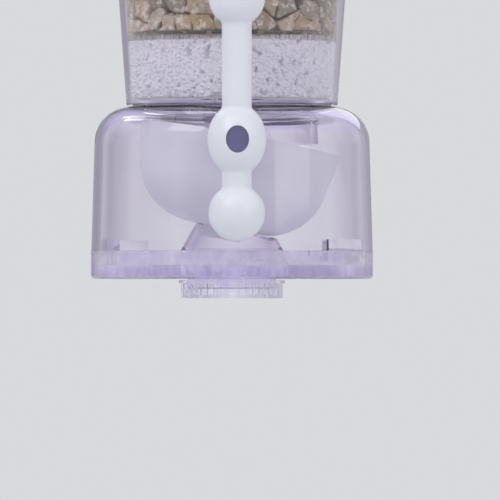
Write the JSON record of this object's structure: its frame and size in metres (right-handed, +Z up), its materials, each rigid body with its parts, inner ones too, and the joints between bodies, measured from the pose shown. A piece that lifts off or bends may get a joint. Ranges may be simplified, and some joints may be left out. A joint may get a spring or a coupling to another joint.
{
  "type": "faucet mount water filter",
  "caption": "Clear faucet filter with a tapered jar of stones and beads, a clear housing with a tilted bowl, a ball-ended lever valve and a ribbed outlet.",
  "frame": {"origin": "centre of the swivel nut's mouth, where the faucet spout screws in", "axes": "+Z up along the faucet's thread, +X to the right of someone facing the lever, which is at -Y"},
  "size_m": [0.0706, 0.0852, 0.1238],
  "materials": {
    "clear_plastic": "clear, polished, with a faint violet tint",
    "violet_clear_plastic": "clear, polished, tinted violet",
    "violet_plastic": "polished grey violet",
    "white_plastic": "glossy white",
    "milky_plastic": "translucent white",
    "chrome_metal": "polished plating on brass",
    "steel_mesh": "fine perforated sheet",
    "silicone": "soft, translucent grey",
    "black_rubber": "matt",
    "white_felt": "pressed felt",
    "carbon": "black granules",
    "pebble": "rough, cream to pinkish grey",
    "white_bead": "matt white granules"
  },
  "bodies": {
    "filter": {"inlet_washer": "black_rubber", "inlet_screen": "steel_mesh", "inlet_neck": "chrome_metal", "neck_seal": "black_rubber", "top_cap": "white_plastic", "cap_seal": "silicone", "filter_jar": "clear_plastic", "jar_seal": "silicone", "sediment_pad": "white_felt", "carbon_bed": "carbon", "upper_grate": "clear_plastic", "stone_bed": "pebble", "middle_grate": "clear_plastic", "bead_bed": "white_bead", "lower_pad": "white_felt", "clear_housing": "clear_plastic", "valve_body": "milky_plastic", "valve_seal": "silicone", "plug_retainer": "milky_plastic", "inner_bowl": "milky_plastic", "drain_cone": "clear_plastic", "cone_seal": "silicone", "base_cap": "violet_clear_plastic", "base_seal": "silicone"},
    "nut": {"swivel_nut": "chrome_metal"},
    "handle": {"lever": "white_plastic", "valve_spindle": "violet_plastic", "spindle_seal": "silicone", "valve_plug": "milky_plastic"},
    "collar": {"outlet_collar": "clear_plastic", "outlet_washer": "silicone", "flow_straightener": "clear_plastic"}
  },
  "joints": [
    {"name": "lever_turn", "type": "hinge", "parent": "filter", "child": "handle", "pos_m": [0, -0.043, -0.085], "axis": [0, 1, 0], "range_deg": [0, 90]},
    {"name": "nut_turn", "type": "hinge", "parent": "filter", "child": "nut", "pos_m": [0, 0, -0.007], "axis": [0, 0, 1], "continuous": true},
    {"name": "collar_turn", "type": "hinge", "parent": "filter", "child": "collar", "pos_m": [0, 0, -0.1215], "axis": [0, 0, 1], "continuous": true}
  ]
}
